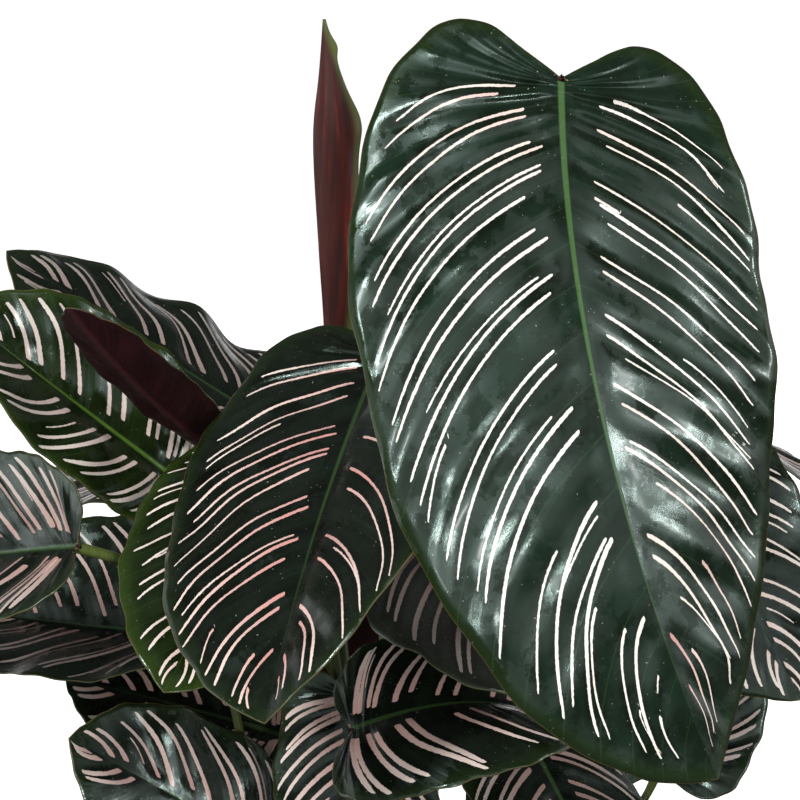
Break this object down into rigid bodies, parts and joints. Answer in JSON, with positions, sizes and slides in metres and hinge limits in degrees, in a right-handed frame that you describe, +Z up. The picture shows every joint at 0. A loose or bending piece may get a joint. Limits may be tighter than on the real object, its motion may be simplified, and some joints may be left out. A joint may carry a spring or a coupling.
{
  "type": "potted calathea",
  "caption": "Leafy striped house plant in a plain round nursery pot; it stands on a level surface.",
  "frame": {"origin": "middle of the pot's flat bottom", "axes": "+Z up, -Y towards the picture's viewer, +X to the right"},
  "size_m": [0.4031, 0.4027, 0.5662],
  "materials": {
    "pot": "moulded, matt",
    "soil": "loose peat",
    "leaf": "glossy leaf",
    "new_leaf": "satin leaf underside",
    "stalk": "satin stem"
  },
  "bodies": {
    "root": {"blade_back_left": "leaf", "blade_back_low": "leaf", "blade_back_middle": "leaf", "blade_back_right": "leaf", "blade_back_tall": "leaf", "blade_front": "leaf", "blade_left_bright": "leaf", "blade_left_dark": "leaf", "blade_left_far": "leaf", "blade_left_glossy": "leaf", "blade_left_underside": "leaf", "blade_low_back": "leaf", "blade_low_centre": "leaf", "blade_low_front": "leaf", "blade_low_hanging": "leaf", "blade_low_left": "leaf", "blade_low_left_lower": "leaf", "blade_low_left_upper": "leaf", "blade_low_right": "leaf", "blade_right": "leaf", "blade_right_far": "leaf", "blade_rolled": "new_leaf", "blade_second": "leaf", "blade_shaded": "leaf", "blade_third": "leaf", "blade_under_front": "leaf", "pot": "pot", "soil": "soil", "stalk_back_left": "stalk", "stalk_back_low": "stalk", "stalk_back_middle": "stalk", "stalk_back_right": "stalk", "stalk_back_tall": "stalk", "stalk_front": "stalk", "stalk_left_bright": "stalk", "stalk_left_dark": "stalk", "stalk_left_far": "stalk", "stalk_left_glossy": "stalk", "stalk_left_underside": "stalk", "stalk_low_back": "stalk", "stalk_low_centre": "stalk", "stalk_low_front": "stalk", "stalk_low_hanging": "stalk", "stalk_low_left": "stalk", "stalk_low_left_lower": "stalk", "stalk_low_left_upper": "stalk", "stalk_low_right": "stalk", "stalk_right": "stalk", "stalk_right_far": "stalk", "stalk_rolled": "stalk", "stalk_second": "stalk", "stalk_shaded": "stalk", "stalk_third": "stalk", "stalk_under_front": "stalk"}
  },
  "joints": []
}
